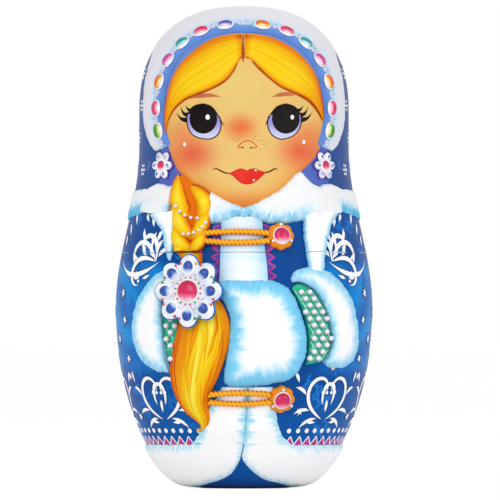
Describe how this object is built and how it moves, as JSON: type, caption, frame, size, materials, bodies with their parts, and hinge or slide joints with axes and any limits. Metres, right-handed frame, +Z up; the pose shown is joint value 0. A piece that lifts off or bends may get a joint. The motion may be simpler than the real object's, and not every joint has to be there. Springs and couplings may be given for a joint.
{
  "type": "matryoshka doll set",
  "caption": "Round-headed wooden nesting doll in a fur-trimmed blue winter coat; it opens at the waist and holds smaller dolls of the same shape.",
  "frame": {"origin": "centre of the flat foot that the largest doll stands on", "axes": "+Z up through the crown of the head; the face looks along -Y; +X is to the right for someone who faces the doll"},
  "size_m": [0.096, 0.1038, 0.18],
  "materials": {
    "painted_wood": "turned limewood, painted blue and lacquered to a satin gloss",
    "white_fur_paste": "modelled paste combed like fur, white with pale blue edges",
    "headdress_paste": "modelled paste, white with a blue front edge",
    "golden_hair_paste": "modelled paste combed into strands, yellow running into orange",
    "green_lining_paste": "painted paste, satin",
    "gold_cord": "twisted cord and clasp painted golden orange",
    "silver_white_mount": "moulded mount, white with a silver edge",
    "stone_pink": "polished cabochon",
    "stone_amber": "polished cabochon",
    "stone_teal": "polished cabochon",
    "stone_violet": "polished cabochon",
    "stone_green": "polished cabochon",
    "stone_blue": "polished cabochons moulded as one ring"
  },
  "bodies": {
    "outer_lower": {"outer_lower_half": "painted_wood", "plait_tail": "golden_hair_paste", "muff": "white_fur_paste", "left_cuff": "white_fur_paste", "right_cuff": "white_fur_paste", "left_cuff_lining": "green_lining_paste", "right_cuff_lining": "green_lining_paste", "right_lower_shoulder_fur": "white_fur_paste", "lower_placket": "white_fur_paste", "left_front_fur": "white_fur_paste", "right_front_fur": "white_fur_paste", "hem_fur": "white_fur_paste", "brooch_plate": "silver_white_mount", "brooch_centre_stone": "stone_pink", "brooch_stone_ring": "stone_blue", "lower_cord": "gold_cord", "lower_clasp": "gold_cord", "lower_clasp_stone": "stone_pink"},
    "doll_2_lower": {"doll_2_lower_half": "painted_wood"},
    "doll_3_lower": {"doll_3_lower_half": "painted_wood"},
    "doll_4_lower": {"doll_4_lower_half": "painted_wood"},
    "doll_5": {"doll_5": "painted_wood"},
    "doll_4_upper": {"doll_4_upper_half": "painted_wood"},
    "doll_3_upper": {"doll_3_upper_half": "painted_wood"},
    "doll_2_upper": {"doll_2_upper_half": "painted_wood"},
    "outer_upper": {"outer_upper_half": "painted_wood", "headdress_band": "headdress_paste", "headdress_stone_left_1": "stone_violet", "headdress_stone_left_2": "stone_pink", "headdress_stone_left_3": "stone_teal", "headdress_stone_left_4": "stone_pink", "headdress_stone_left_5": "stone_amber", "headdress_stone_left_6": "stone_pink", "headdress_stone_left_7": "stone_green", "headdress_stone_right_1": "stone_amber", "headdress_stone_right_2": "stone_pink", "headdress_stone_right_3": "stone_teal", "headdress_stone_right_4": "stone_pink", "headdress_stone_right_5": "stone_amber", "headdress_stone_right_6": "stone_pink", "headdress_stone_right_7": "stone_green", "left_hair_wing": "golden_hair_paste", "right_hair_wing": "golden_hair_paste", "fur_collar": "white_fur_paste", "plait": "golden_hair_paste", "upper_placket": "white_fur_paste", "upper_cord": "gold_cord", "upper_clasp": "gold_cord", "upper_clasp_stone": "stone_pink", "left_shoulder_fur": "white_fur_paste", "right_shoulder_fur": "white_fur_paste", "left_earring": "silver_white_mount", "right_earring": "silver_white_mount", "left_earring_stone": "stone_pink", "right_earring_stone": "stone_pink"}
  },
  "joints": [
    {"name": "doll_2_lower_lifts", "type": "slide", "parent": "outer_lower", "child": "doll_2_lower", "axis": [0, 0, 1], "range_m": [0, 0.095]},
    {"name": "doll_3_lower_lifts", "type": "slide", "parent": "doll_2_lower", "child": "doll_3_lower", "axis": [0, 0, 1], "range_m": [0, 0.073]},
    {"name": "doll_4_lower_lifts", "type": "slide", "parent": "doll_3_lower", "child": "doll_4_lower", "axis": [0, 0, 1], "range_m": [0, 0.055]},
    {"name": "doll_5_lifts", "type": "slide", "parent": "doll_4_lower", "child": "doll_5", "axis": [0, 0, 1], "range_m": [0, 0.041]},
    {"name": "doll_4_upper_lifts", "type": "slide", "parent": "doll_5", "child": "doll_4_upper", "axis": [0, 0, 1], "range_m": [0, 0.022]},
    {"name": "doll_3_upper_lifts", "type": "slide", "parent": "doll_4_upper", "child": "doll_3_upper", "axis": [0, 0, 1], "range_m": [0, 0.033]},
    {"name": "doll_2_upper_lifts", "type": "slide", "parent": "doll_3_upper", "child": "doll_2_upper", "axis": [0, 0, 1], "range_m": [0, 0.043]},
    {"name": "outer_upper_lifts", "type": "slide", "parent": "doll_2_upper", "child": "outer_upper", "axis": [0, 0, 1], "range_m": [0, 0.058]}
  ]
}
